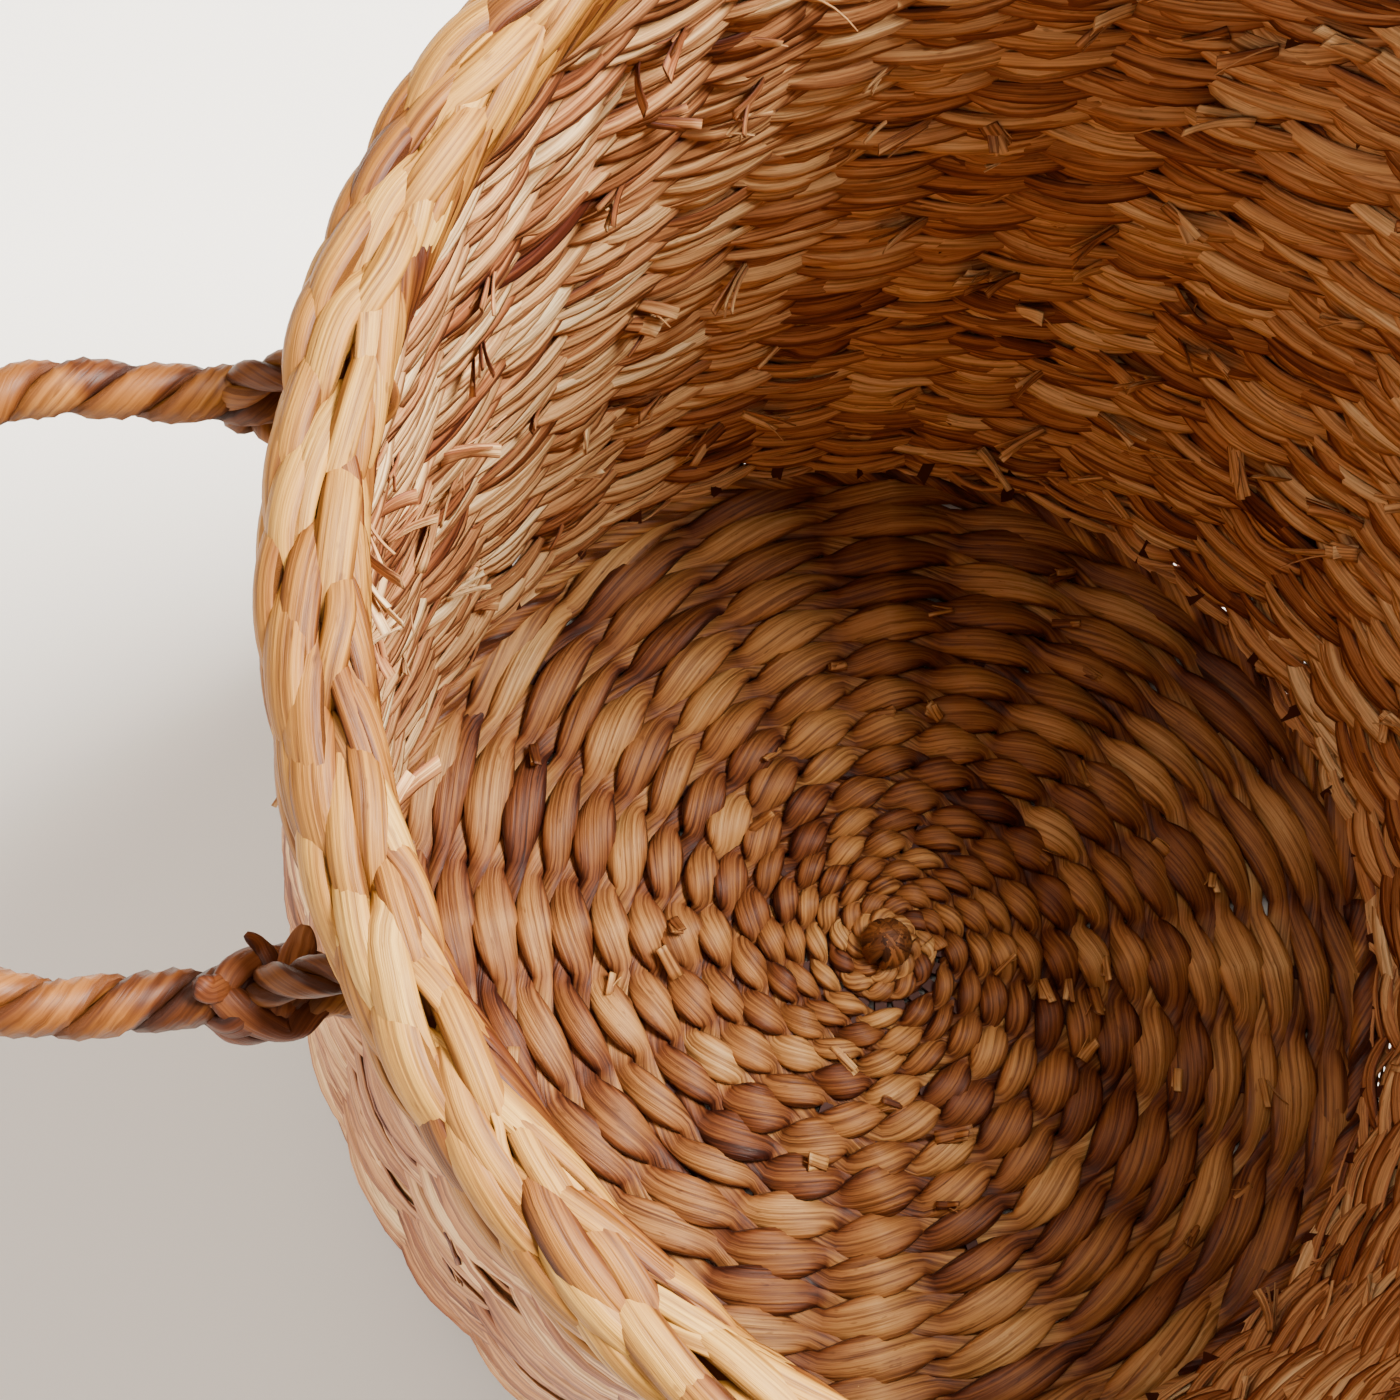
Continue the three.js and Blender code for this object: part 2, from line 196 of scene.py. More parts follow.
def unit(rows):
    """Rows of vectors brought to length 1."""
    return rows / np.maximum(np.linalg.norm(rows, axis=1, keepdims=True), 1e-12)


def drift(rng, along, cell, spread):
    """Smooth random value along a strand, with a new one every cell."""
    along = np.asarray(along) / cell
    first = math.floor(along.min())
    knots = rng.normal(0, spread, int(math.floor(along.max())) - first + 3)
    index = np.floor(along).astype(int) - first
    part = along - np.floor(along)
    part = part * part * (3 - 2 * part)
    return knots[index] * (1 - part) + knots[index + 1] * part


class Strands:
    """Collects swept strands into one mesh, with the fibre's own coordinates and a shade on each point."""

    def __init__(self, seed):
        self.rng = np.random.default_rng(seed)
        self.points, self.fibre, self.shade = [], [], []
        self.corners, self.sizes = [], []
        self.count = 0

    def sweep(self, centres, outward, width, thick, sides=10, roll=0.0, ridge=0.0, ridge_cell=0.02,
              shade=0.5, lens=1.0):
        """One closed strand: flat section, wide across the outward direction, grooved along its length.

        Width, thickness, roll and shade are one value or one at each centre.
        A lens under 1 makes the section fuller.
        """
        rng = self.rng
        steps = len(centres)
        tangent = unit(np.gradient(centres, axis=0))
        across = unit(np.cross(tangent, outward))
        out = np.cross(across, tangent)
        roll = np.broadcast_to(roll, steps)[:, None]
        across, out = (across * np.cos(roll) + out * np.sin(roll), out * np.cos(roll) - across * np.sin(roll))
        turn = np.linspace(0, 2 * np.pi, sides, endpoint=False) + np.pi / sides
        side = np.cos(turn)
        face = np.sign(np.sin(turn)) * np.abs(np.sin(turn)) ** lens
        width = np.broadcast_to(width, steps)
        thick = np.broadcast_to(thick, steps)
        length = np.concatenate([[0], np.cumsum(np.linalg.norm(np.diff(centres, axis=0), axis=1))])
        knots = rng.normal(0, 1, (int(length[-1] / ridge_cell) + 3, sides))
        place = length / ridge_cell
        index = place.astype(int)
        part = (place - index)[:, None]
        grooves = ridge * (knots[index] * (1 - part) + knots[index + 1] * part)
        grid = (centres[:, None]
                + across[:, None] * (width[:, None] / 2 * side)[..., None]
                + out[:, None] * (thick[:, None] / 2 * face + grooves * np.sin(turn))[..., None])
        # The fibre's coordinates: metres along and across, its under side apart, and a place in the noise
        seed = rng.uniform(0, 100)
        start = rng.uniform(0, 5)
        under = np.where(np.sin(turn) < 0, 0.5, 0.0)
        fibre = np.empty((steps, sides, 3))
        fibre[..., 0] = (start + length)[:, None]
        fibre[..., 1] = width[:, None] / 2 * side + under
        fibre[..., 2] = seed
        # Painted shade: every strand is darker toward its side edges
        shade = np.broadcast_to(shade, steps)[:, None] - PAINTED_EDGE_SHADE * np.abs(side) ** 4
        i, j = np.meshgrid(np.arange(steps - 1), np.arange(sides), indexing="ij")
        k = (j + 1) % sides
        base = self.count
        quads = np.stack([i * sides + j, (i + 1) * sides + j, (i + 1) * sides + k, i * sides + k], axis=-1)
        ring = np.arange(sides)
        following = (ring + 1) % sides
        hub, last = steps * sides, (steps - 1) * sides
        start_cap = np.stack([np.full(sides, hub), ring, following], axis=-1)
        end_cap = np.stack([np.full(sides, hub + 1), last + following, last + ring], axis=-1)
        self.points += [grid.reshape(-1, 3), grid[0].mean(axis=0)[None], grid[-1].mean(axis=0)[None]]
        self.fibre += [fibre.reshape(-1, 3), fibre[0, :1], fibre[-1, :1]]
        self.shade += [shade.reshape(-1), shade[0, :1], shade[-1, :1]]
        self.corners += [quads.reshape(-1) + base, start_cap.reshape(-1) + base, end_cap.reshape(-1) + base]
        self.sizes += [np.full((steps - 1) * sides, 4), np.full(2 * sides, 3)]
        self.count += steps * sides + 2

    def move(self, function):
        """Applies a function to the points of every strand so far."""
        self.points = [function(points) for points in self.points]

    def piece(self, name, material, body, stands_for, slot):
        """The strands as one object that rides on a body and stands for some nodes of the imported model."""
        points = np.concatenate(self.points)
        corners = np.concatenate(self.corners)
        sizes = np.concatenate(self.sizes)
        mesh = bpy.data.meshes.new(name)
        mesh.vertices.add(len(points))
        mesh.vertices.foreach_set("co", points.ravel())
        mesh.loops.add(len(corners))
        mesh.loops.foreach_set("vertex_index", corners)
        mesh.polygons.add(len(sizes))
        mesh.polygons.foreach_set("loop_start", np.cumsum(sizes) - sizes)
        mesh.update(calc_edges=True)
        mesh.validate()
        mesh.polygons.foreach_set("use_smooth", np.ones(len(mesh.polygons), dtype=bool))
        fibre = mesh.attributes.new("fibre", "FLOAT_VECTOR", "POINT")
        fibre.data.foreach_set("vector", np.concatenate(self.fibre).ravel())
        shade = mesh.attributes.new("shade", "FLOAT", "POINT")
        shade.data.foreach_set("value", np.concatenate(self.shade))
        mesh.materials.append(material)
        piece = bpy.data.objects.new(name, mesh)
        bpy.context.collection.objects.link(piece)
        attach(piece, body)
        if stands_for:
            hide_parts(*stands_for)


def linear(red, green, blue):
    """Linear colour from 0 to 255 screen values."""
    channels = [value / 255 for value in (red, green, blue)]
    return [c / 12.92 if c <= 0.04045 else ((c + 0.055) / 1.055) ** 2.4 for c in channels] + [1.0]


class Nodes:
    """Short way to lay out a material's nodes."""

    def __init__(self, name):
        self.material = bpy.data.materials.new(name)
        self.material.use_nodes = True
        self.tree = self.material.node_tree
        self.shader = self.tree.nodes["Principled BSDF"]

    def add(self, kind, inputs=None, **settings):
        node = self.tree.nodes.new(kind)
        for key, value in settings.items():
            setattr(node, key, value)
        for key, value in (inputs or {}).items():
            if isinstance(value, bpy.types.NodeSocket):
                self.tree.links.new(value, node.inputs[key])
            else:
                node.inputs[key].default_value = value
        return node

    def math(self, operation, *values, clamp=False):
        node = self.add("ShaderNodeMath", dict(enumerate(values)), operation=operation, use_clamp=clamp)
        return node.outputs[0]

    def multiplied(self, colour, by, factor):
        inputs = {"Factor": factor, 6: colour, 7: by}
        return self.add("ShaderNodeMix", inputs, data_type="RGBA", blend_type="MULTIPLY").outputs[2]

    def stretched_noise(self, vector, along, across, detail):
        scaled = self.add("ShaderNodeVectorMath", {0: vector, 1: (along, across, 1.0)}, operation="MULTIPLY")
        inputs = {"Vector": scaled.outputs[0], "Scale": 1.0, "Detail": detail, "Roughness": 0.6}
        return self.add("ShaderNodeTexNoise", inputs).outputs["Fac"]

    def ramp(self, factor, stops):
        node = self.add("ShaderNodeValToRGB", {"Fac": factor})
        elements = node.color_ramp.elements
        while len(elements) < len(stops):
            elements.new(0.5)
        for element, (place, colour) in zip(elements, stops):
            element.position = place
            element.color = colour
        return node.outputs["Color"]


def fibre_material(name, palette, streak=0.5, rough=0.5, bump=0.5, gloss=0.22):
    """Dry plant fibre: long streaks along the strand, a shade for each strand that also carries its painted
    shade at edges, ends and crossings, and dark flecks.
    """
    nodes = Nodes(name)
    vector = nodes.add("ShaderNodeAttribute", attribute_name="fibre").outputs["Vector"]
    tone = nodes.add("ShaderNodeAttribute", attribute_name="shade").outputs["Fac"]
    fine, broad, patch, fleck = (nodes.stretched_noise(vector, *scales) for scales in FIBRE_NOISES)
    for noise, share, last in ((broad, 0.36, False), (patch, 0.30, False), (fine, 0.60, True)):
        tone = nodes.math("MULTIPLY_ADD", noise, share, nodes.math("SUBTRACT", tone, share / 2), clamp=last)
    stops = [(index / (len(palette) - 1), linear(*colour)) for index, colour in enumerate(palette)]
    colour = nodes.ramp(tone, stops)
    lines = nodes.math("MULTIPLY_ADD", fine, 0.78, nodes.math("MULTIPLY", broad, 0.22))
    dark = nodes.ramp(lines, [(0.33, (1 - streak, 1 - streak * 1.12, 1 - streak * 1.2, 1.0)),
                              (0.55, (1.0, 1.0, 1.0, 1.0))])
    flecks = nodes.ramp(fleck, [(0.27, (0.45, 0.36, 0.30, 1.0)), (0.36, (1.0, 1.0, 1.0, 1.0))])
    colour = nodes.multiplied(colour, dark, 1.0)
    colour = nodes.multiplied(colour, flecks, 0.7)
    roughness = nodes.math("MULTIPLY_ADD", fine, 0.25, rough - 0.12)
    height = nodes.math("MULTIPLY_ADD", broad, 0.35, nodes.math("MULTIPLY", fine, 0.6))
    relief = nodes.add("ShaderNodeBump", {"Strength": bump, "Distance": 0.0012, "Height": height})
    shader = nodes.shader
    nodes.tree.links.new(colour, shader.inputs["Base Color"])
    nodes.tree.links.new(roughness, shader.inputs["Roughness"])
    nodes.tree.links.new(relief.outputs[0], shader.inputs["Normal"])
    shader.inputs["Specular IOR Level"].default_value = gloss
    return nodes.material


def ring_points(radius, angle, z):
    """Points at radii, angles and heights; radius and height may be one value for all."""
    return np.stack([radius * np.cos(angle), radius * np.sin(angle), z + 0 * angle], axis=-1)


def radial(angle, out, up):
    """Directions made of an outward share and an upward share, at each angle."""
    return np.stack([np.cos(angle) * out, np.sin(angle) * out, up + 0 * angle], axis=-1)


def per_cell(rng, cell, low, high):
    """One random value for each numbered cell of a strand."""
    cell = cell.astype(int)
    cell = cell - cell.min()
    return rng.uniform(low, high, cell.max() + 1)[cell]


def above_floor(points):
    """Points of strands that lie on the floor, none of them under it."""
    return np.maximum(points, [-np.inf, -np.inf, 0.0003])


# Base


def base_weave(material):
    """Two strands twined in one spiral from the hub to the foot, in rows that grow wider outward."""
    strands = Strands(11)
    rng = strands.rng
    steps = 9  # points to a cell
    turns = np.arange(len(BASE_CELLS) + 1)
    cells = np.concatenate([[0], np.cumsum(BASE_CELLS)])
    radii = HUB_R + 0.0020 + np.concatenate([[0], np.cumsum(BASE_PITCHES)])
    cell = np.arange(0, cells[-1] + 0.01, 1 / steps)
    turn = np.interp(cell, cells, turns)
    angle = FIRST_STAKE + 2 * np.pi * turn
    rope_r = np.interp(turn, turns, radii)
    pitch = np.interp(turn, turns[:-2] + 0.5, BASE_PITCHES[:-1])
    # The four stakes that show as ridges, from a little outside the hub
    ridge_angle = (angle - FIRST_STAKE + np.pi / 4) % (np.pi / 2) - np.pi / 4
    draped = np.exp(-((ridge_angle * rope_r) / 0.0036) ** 2) * np.clip((rope_r - 0.022) / 0.02, 0, 1)
    for strand in (0, 1):
        phase = np.pi * (cell + strand)
        number = np.floor(cell + 0.5)
        top = np.cos(phase)
        side = np.arcsin(0.95 * np.sin(phase)) / math.asin(0.95)
        plump = np.abs(top)
        size = 1 + drift(rng, cell, 1.0, 0.13)
        radius = rope_r - pitch * 0.30 * side + drift(rng, cell, 1.3, 0.0006)
        lift = 0.0022 + 0.0009 * pitch / PLUMP_PITCH
        z = BASE_T / 2 + lift * top + draped * 0.0010 * (top > 0)
        wide = pitch * (0.50 + 0.64 * plump ** 0.9) * size
        thick = (0.0042 + 0.0022 * plump) * (0.78 + 0.22 * pitch / PLUMP_PITCH)
        thick = thick * (1 + drift(rng, cell, 1.0, 0.06))
        shade = 0.54 + per_cell(rng, number, -0.19, 0.19) + drift(rng, cell, 5, 0.09)
        # Painted shade: darker where a strand dives down beside its partner between cells
        shade = shade + 0.10 * draped - 0.24 * (1 - plump) ** 1.5
        lean = -0.55 * side * np.tanh(3 * top)
        strands.sweep(ring_points(radius, angle, z), radial(angle, lean, 1.0), wide, thick, sides=14,
                      ridge=0.00030, ridge_cell=0.013, roll=drift(rng, cell, 1.0, 0.17), shade=shade,
                      lens=0.80)
    strands.move(above_floor)
    strands.piece("base_twined_strands", material, "basket", ["base_weave"], "base_fibre")


def foot_row(material):
    """Twined pair in the corner where the wall stands on the base."""
    strands = Strands(13)
    rng = strands.rng
    swing = 0.0019
    steps = 8  # points to a cell
    seam = 0.11
    cell = seam + np.arange(0, UPRIGHTS * steps + 1) / steps
    number = np.floor(cell + 0.5)
    angle = UPRIGHT_STEP * cell
    uneven = drift(rng, cell, 1.7, 0.16) * np.sin(np.pi * np.linspace(0, 1, len(cell))) ** 0.2
    for strand in (0, 1):
        phase = np.pi * (cell + strand + uneven)
        size = 1 + drift(rng, cell, 1.0, 0.15)
        ring_r = FOOT_R - 0.0022 + drift(rng, cell, 3.0, 0.0006)
        ring_z = 0.0092 + drift(rng, cell, 3.0, 0.0006)
        out = np.sin(phase)
        up = np.cos(phase)
        plump = 0.75 + 0.25 * np.abs(np.cos(phase - 0.6))
        shade = per_cell(rng, number, 0.2, 0.7) + drift(rng, cell, 4, 0.05)
        strands.sweep(ring_points(ring_r + swing * out, angle, ring_z + swing * up), radial(angle, out, up),
                      0.0092 * size * plump, 0.0052 * size, sides=12, ridge=0.00018, ridge_cell=0.02,
                      shade=shade, roll=drift(rng, cell, 1.0, 0.12))
    strands.move(above_floor)
    strands.piece("base_foot_strands", material, "basket", (), "base_fibre")


def hub_knob(material):
    """Dark knob of bound fibre: wraps that cross over a round core."""
    strands = Strands(12)
    rng = strands.rng
    middle = HUB_TOP - 0.0100
    ball_r = 0.0090
    for _ in range(15):
        heading = rng.uniform(0, np.pi)
        lean = rng.normal(0, 0.35)
        bow = np.linspace(-0.15, np.pi + 0.15, 17)
        sideways = np.full_like(bow, math.sin(lean))
        flat = unit(np.stack([np.cos(bow), sideways, np.sin(bow) * math.cos(lean)], axis=-1))
        turned = np.stack([flat[:, 0] * math.cos(heading) - flat[:, 1] * math.sin(heading),
                           flat[:, 0] * math.sin(heading) + flat[:, 1] * math.cos(heading),
                           flat[:, 2]], axis=-1)
        strands.sweep(turned * (ball_r - 0.0012) + [0, 0, middle], turned, 0.0042, 0.0022, sides=10,
                      ridge=0.0001, ridge_cell=0.005, shade=rng.uniform(0.1, 0.7))
    core_points = 6
    angle = np.zeros(core_points)
    core = ring_points(0.0001, angle, np.linspace(0.0005, middle, core_points))
    strands.sweep(core, radial(angle, 1.0, 0.0), 0.015, 0.015, sides=24, ridge=0.0003, shade=0.3)
    strands.piece("base_hub_wraps", material, "basket", ["base_hub"], "hub_fibre")


def hub_collar(material):
    """Small twined rows over the stakes' inner ends."""
    strands = Strands(14)
    rng = strands.rng
    steps = 8  # points to a cell
    for cells, reach, level in COLLAR_RINGS:
        for cord in (0, 1):
            cell = np.arange(0, cells + 0.01, 1 / steps)
            angle = 2 * np.pi * cell / cells
            phase = np.pi * (cell + cord)
            centres = ring_points(reach - 0.0021 * np.sin(phase), angle, level + 0.0017 * np.cos(phase))
            lean = -0.55 * np.sin(phase) * np.tanh(3 * np.cos(phase))
            strands.sweep(centres, radial(angle, lean, 1.0), 0.0030 + 0.0044 * np.abs(np.cos(phase)), 0.0038,
                          sides=10, ridge=0.00015, ridge_cell=0.006,
                          shade=per_cell(rng, np.floor(cell + 0.5), 0.2, 0.8))
    strands.piece("base_hub_collar", material, "basket", (), "base_fibre")


# Wall


def row_level(row):
    """Height of a row's middle; the top row is tucked 2 mm into the border."""
    return WALL_FOOT + (WALL_TOP + 0.002 - WALL_FOOT) / WALL_ROWS * (row + 0.5)


def wall_row(strands, row):
    """One row of two folded leaves, outside one upright and inside the next."""
    rng = strands.rng
    steps = 6  # points to an upright
    seam = rng.integers(0, UPRIGHTS) + 0.5
    cell = seam + np.arange(0, UPRIGHTS * steps + 1) / steps
    angle = FIRST_STAKE + UPRIGHT_STEP / 2 + UPRIGHT_STEP * cell
    phase = np.pi * (cell + row)
    swing = np.cos(phase)
    plump = np.abs(swing)
    number = np.floor(cell + 0.5)
    spread = 1 + drift(rng, cell, 1.0, 0.12)
    sway = drift(rng, cell, 1.0, 0.0008) + drift(rng, cell, 7.0, 0.0012)
    dip = -0.0022 * plump ** 2
    rise = 0.0010 * np.sin(phase) * np.where(number % 2 == 0, 1, -1)
    for place in (-1, 1):
        reach = (0.0018 + 0.0022 * plump) * spread
        z = row_level(row) + dip + rise + sway + place * reach + drift(rng, cell, 1.0, 0.0005)
        depth = 0.0028 * swing * (1 + drift(rng, cell, 1.0, 0.10)) - place * 0.0005 * swing
        wide = (0.0070 + 0.0026 * plump) * (1 + drift(rng, cell, 1.0, 0.14))
        thick = (0.0012 + 0.0004 * plump) * (1 + drift(rng, cell, 1.0, 0.15))
        # Painted shade: darker where the leaf passes between the uprights from one face to the other
        shade = 0.52 - 0.10 * swing - 0.20 * (1 - plump) + rng.normal(0, 0.08) + drift(rng, cell, 9, 0.08)
        shade = shade + per_cell(rng, number, -0.15, 0.15)
        tilt = 0.26 * swing + drift(rng, cell, 1.0, 0.12)
        strands.sweep(ring_points(wall_radius(z) + depth, angle, z), radial(angle, 1.0, 0.0), wide, thick,
                      sides=8, roll=tilt, ridge=0.00018, ridge_cell=0.012, shade=shade)


def wall_fans(strands, row):
    """Loose blades over each upright, on the face where the row lies: pointed, bowed and fanned out."""
    rng = strands.rng
    t = np.linspace(-1, 1, 10)
    lens = (1 - np.abs(t) ** 2.6) ** 0.8 * (1 - 0.28 * t)
    for upright in range(UPRIGHTS):
        face = 1 if (upright + row) % 2 == 0 else -1
        tone = rng.normal(0.62, 0.13) if face < 0 else rng.normal(0.55, 0.09)
        for _ in range(rng.integers(2, 5)):
            place = rng.uniform(-1, 1)
            length = rng.uniform(0.66, 0.98)
            middle = upright + rng.normal(0, 0.12)
            angle = FIRST_STAKE + UPRIGHT_STEP / 2 + UPRIGHT_STEP * (middle + length * t)
            z = row_level(row) - 0.0028 * (1 - t ** 2) + place * 0.0056 * (1 - t ** 2) ** 0.7
            z = z + rng.normal(0, 0.0014) * t + rng.normal(0, 0.0005)
            tip = max(0, rng.normal(0.0008, 0.0016)) * np.maximum(-t, 0) ** 3
            bow = rng.uniform(0.0050, 0.0062) if face < 0 else rng.uniform(0.0056, 0.0074)
            depth = face * (-0.0014 + bow * np.cos(np.pi * t / 2) ** 0.8 + tip)
            wide = rng.uniform(0.0050, 0.0104) * (0.06 + 0.94 * lens)
            thick = rng.uniform(0.0007, 0.0011) * (0.5 + 0.5 * lens)
            # Painted shade: each blade is darker toward its ends, where it tucks under
            strands.sweep(ring_points(wall_radius(z) + depth, angle, z), radial(angle, 1.0, 0.0), wide, thick,
                          sides=8, ridge=0.00008, roll=rng.normal(0.30 * face, 0.16), ridge_cell=0.010,
                          shade=tone + rng.normal(0, 0.10) - 0.30 * t ** 4)


def wall_weave(material):
    """The wall's rows, in bands."""
    for band in range(WALL_BANDS):
        strands = Strands(30 + band)
        first = WALL_ROWS * band // WALL_BANDS
        last = WALL_ROWS * (band + 1) // WALL_BANDS
        for row in range(first, last):
            wall_row(strands, row)
            wall_fans(strands, row)
        strands.move(above_floor)
        name = f"wall_ribbons_{band + 1}"
        strands.piece(name, material, "basket", ["wall_weave"] if band == 0 else (), "wall_fibre")


# Border


def rim_surface(angle, around, sink):
    """Points on the border: round the basket, and round its section from outward through up to inward."""
    across = np.sign(np.cos(around)) * np.abs(np.cos(around)) ** RIM_SQUARENESS
    up = np.sign(np.sin(around)) * np.abs(np.sin(around)) ** RIM_SQUARENESS
    middle = HEIGHT - RIM_H / 2
    return ring_points(TOP_R + (RIM_W / 2 - sink) * across, angle, middle + (RIM_H / 2 - sink) * up)


def border_leaf(strands, start, length, low, high, wide, thick, shade, sink=0.0014, dive=0.0):
    """Pointed leaf on the border: it runs a length, moves round the section and dives under at its ends."""
    rng = strands.rng
    t = np.linspace(0, 1, 16)
    sink = sink + dive * np.abs(2 * t - 1) ** 2
    angle = start + length / TOP_R * t
    around = low + (high - low) * t + drift(rng, t, 0.4, 0.05)
    lens = (1 - np.abs(2 * t - 1) ** 3.0) ** 0.7
    # Painted shade: the leaf is darker toward its ends, where it dives under its neighbours
    strands.sweep(rim_surface(angle, around, sink), radial(angle, np.cos(around), np.sin(around)),
                  wide * (0.12 + 0.88 * lens), thick * (0.45 + 0.55 * lens), sides=12, ridge=0.00007,
                  ridge_cell=0.014, shade=shade - 0.30 * (2 * t - 1) ** 4, roll=rng.normal(0, 0.10))


def border_faces(strands):
    """Leaves folded slantwise down the outer face, laid along the top, and folded down the inner face."""
    rng = strands.rng
    for fold in range(BORDER_FOLDS):
        start = 2 * np.pi * (fold + rng.normal(0, 0.15)) / BORDER_FOLDS
        border_leaf(strands, start, rng.uniform(0.018, 0.026), math.radians(24), math.radians(-84),
                    rng.uniform(0.0080, 0.0110), 0.0020, rng.uniform(0.15, 0.75))
    for around, count in BORDER_TOP_ROWS:
        for leaf in range(count):
            start = 2 * np.pi * (leaf + rng.uniform(-0.3, 0.3)) / count
            low = math.radians(around) + rng.normal(-0.20, 0.08)
            high = math.radians(around) + rng.normal(0.62, 0.14)
            border_leaf(strands, start, rng.uniform(0.028, 0.046), low, high,
                        rng.uniform(0.0042, 0.0068), rng.uniform(0.0018, 0.0028), rng.uniform(0.25, 0.95),
                        rng.uniform(0.0008, 0.0018), 0.0022)
    for leaf in range(BORDER_INNER_LEAVES):
        start = 2 * np.pi * (leaf + rng.normal(0, 0.2)) / BORDER_INNER_LEAVES
        low = math.radians(rng.uniform(112, 140))
        high = math.radians(rng.uniform(205, 236))
        border_leaf(strands, start, rng.uniform(0.026, 0.046), low, high, rng.uniform(0.0048, 0.0082),
                    rng.uniform(0.0010, 0.0016), rng.uniform(0.0, 0.80), rng.uniform(0.0014, 0.0026))


def border_braid(strands):
    """Rows of overlapping leaves over the top and outer edge, with thin splits on them."""
    rng = strands.rng
    for cell in range(BORDER_CELLS):
        for low, high, wide, thick, shift in BORDER_ROWS:
            start = 2 * np.pi * (cell + shift + rng.normal(0, 0.10)) / BORDER_CELLS
            border_leaf(strands, start, rng.uniform(0.032, 0.042), math.radians(low + rng.normal(0, 5)),
                        math.radians(high + rng.normal(0, 5)), wide * rng.uniform(0.82, 1.12), thick,
                        rng.uniform(0.22, 0.88), rng.uniform(0.0006, 0.0018), 0.0036)
    for _ in range(BORDER_SPLITS):
        low = rng.uniform(0, 110)
        border_leaf(strands, rng.uniform(0, 2 * np.pi), rng.uniform(0.018, 0.036), math.radians(low),
                    math.radians(low - rng.uniform(10, 40)), rng.uniform(0.0012, 0.0034), 0.0010,
                    rng.uniform(0.20, 1.0), rng.uniform(0.0004, 0.0010), 0.0014)


def border_core(strands):
    """Plain ring inside the border, so that no gap between its leaves shows through."""
    angle = np.linspace(0, 2 * np.pi, 161)
    strands.sweep(ring_points(TOP_R, angle, HEIGHT - RIM_H / 2), radial(angle, 1.0, 0.0), BORDER_CORE_D,
                  BORDER_CORE_D, sides=16, shade=0.3)


def border(material):
    """Folded border in three pieces."""
    parts = [("border_roll", 50, border_braid, ["rim_border"]), ("border_leaves", 51, border_faces, ()),
             ("border_core", 53, border_core, ())]
    for name, seed, lay, stands_for in parts:
        strands = Strands(seed)
        lay(strands)
        strands.piece(name, material, "basket", stands_for, "border_fibre")


# Handles


def rope(strands, path, diameter, lay):
    """Two strands laid round each other along a path, with a diameter at each of its points."""
    rng = strands.rng
    tangent = unit(np.gradient(path, axis=0))
    up = np.tile([0.0, 0.0, 1.0], (len(path), 1))
    side = unit(np.cross(tangent, up))
    up = np.cross(side, tangent)
    length = np.concatenate([[0], np.cumsum(np.linalg.norm(np.diff(path, axis=0), axis=1))])
    for strand in (0, 1):
        phase = 2 * np.pi * length / lay + np.pi * strand
        spoke = side * np.cos(phase)[:, None] + up * np.sin(phase)[:, None]
        size = 1 + drift(rng, length, lay / 2, 0.07)
        centres = path + spoke * (diameter * 0.235)[:, None]
        cell = np.floor(length / lay * 2 + 0.5)
        tone = per_cell(rng, cell, 0.2, 0.8) + drift(rng, length, 0.03, 0.05)
        strands.sweep(centres, spoke, diameter * 0.70 * size, diameter * 0.47 * size, sides=12, ridge=0.0003,
                      ridge_cell=0.012, shade=tone, roll=drift(rng, length, lay / 3, 0.12))


def resampled(points, spacing):
    """Points at an even spacing along a path."""
    points = np.asarray(points, dtype=float)
    length = np.concatenate([[0], np.cumsum(np.linalg.norm(np.diff(points, axis=0), axis=1))])
    count = int(round(length[-1] / spacing)) + 1
    at = np.linspace(0, length[-1], count)
    return np.stack([np.interp(at, length, points[:, axis]) for axis in range(3)], axis=-1)


def loop_path():
    """The handle's loop in its own frame: out along one leg, round the grip and back."""
    leg = HANDLE_REACH - HANDLE_BEND
    half = EYE_Y + HANDLE_SPREAD
    corner = np.linspace(0, np.pi / 2, 16)
    first = [(LEG_START, -EYE_Y, 0)]
    bend = [(leg + HANDLE_BEND * math.sin(a), HANDLE_BEND * (1 - math.cos(a)) - half, 0) for a in corner]
    back = [(x, -y, z) for x, y, z in reversed(first + bend)]
    return resampled(first + bend + back, ROPE_STEP)


def aimed(directions, side):
    """Handle frame to part frame: up by the lift, and for the left handle half a turn about Z."""
    sign = 1 if side == "right" else -1
    x, y, z = np.moveaxis(np.asarray(directions, dtype=float), -1, 0)
    cos, sin = math.cos(HANDLE_LIFT), math.sin(HANDLE_LIFT)
    return np.stack([sign * (x * cos - z * sin), sign * y, x * sin + z * cos], axis=-1)


def placed(points, side):
    """Handle frame to part frame for points: turned as above, and moved to the hinge."""
    sign = 1 if side == "right" else -1
    return aimed(points, side) + [sign * EYE_X, 0, EYE_Z]


def flattened(points, start, slope, full, least):
    """Thinner upright toward the eye, so that a leg clears the wall when its handle swings."""
    room = np.clip((start + slope * points[:, 0]) / full, least, 1)
    return points * np.stack([np.ones_like(room), np.ones_like(room), room], axis=-1)


def spline(points, count):
    """Smooth curve through points given as rows."""
    points = np.asarray(points, dtype=float)
    padded = np.concatenate([2 * points[:1] - points[1:2], points, 2 * points[-1:] - points[-2:-1]])
    place = np.linspace(0, len(points) - 1, count)
    index = np.minimum(place.astype(int), len(points) - 2)
    t = (place - index)[:, None]
    a, b, c, d = (padded[index + shift] for shift in range(4))
    squared = 2 * a - 5 * b + 4 * c - d
    cubed = 3 * b - a - 3 * c + d
    return 0.5 * (2 * b + (c - a) * t + squared * t ** 2 + cubed * t ** 3)


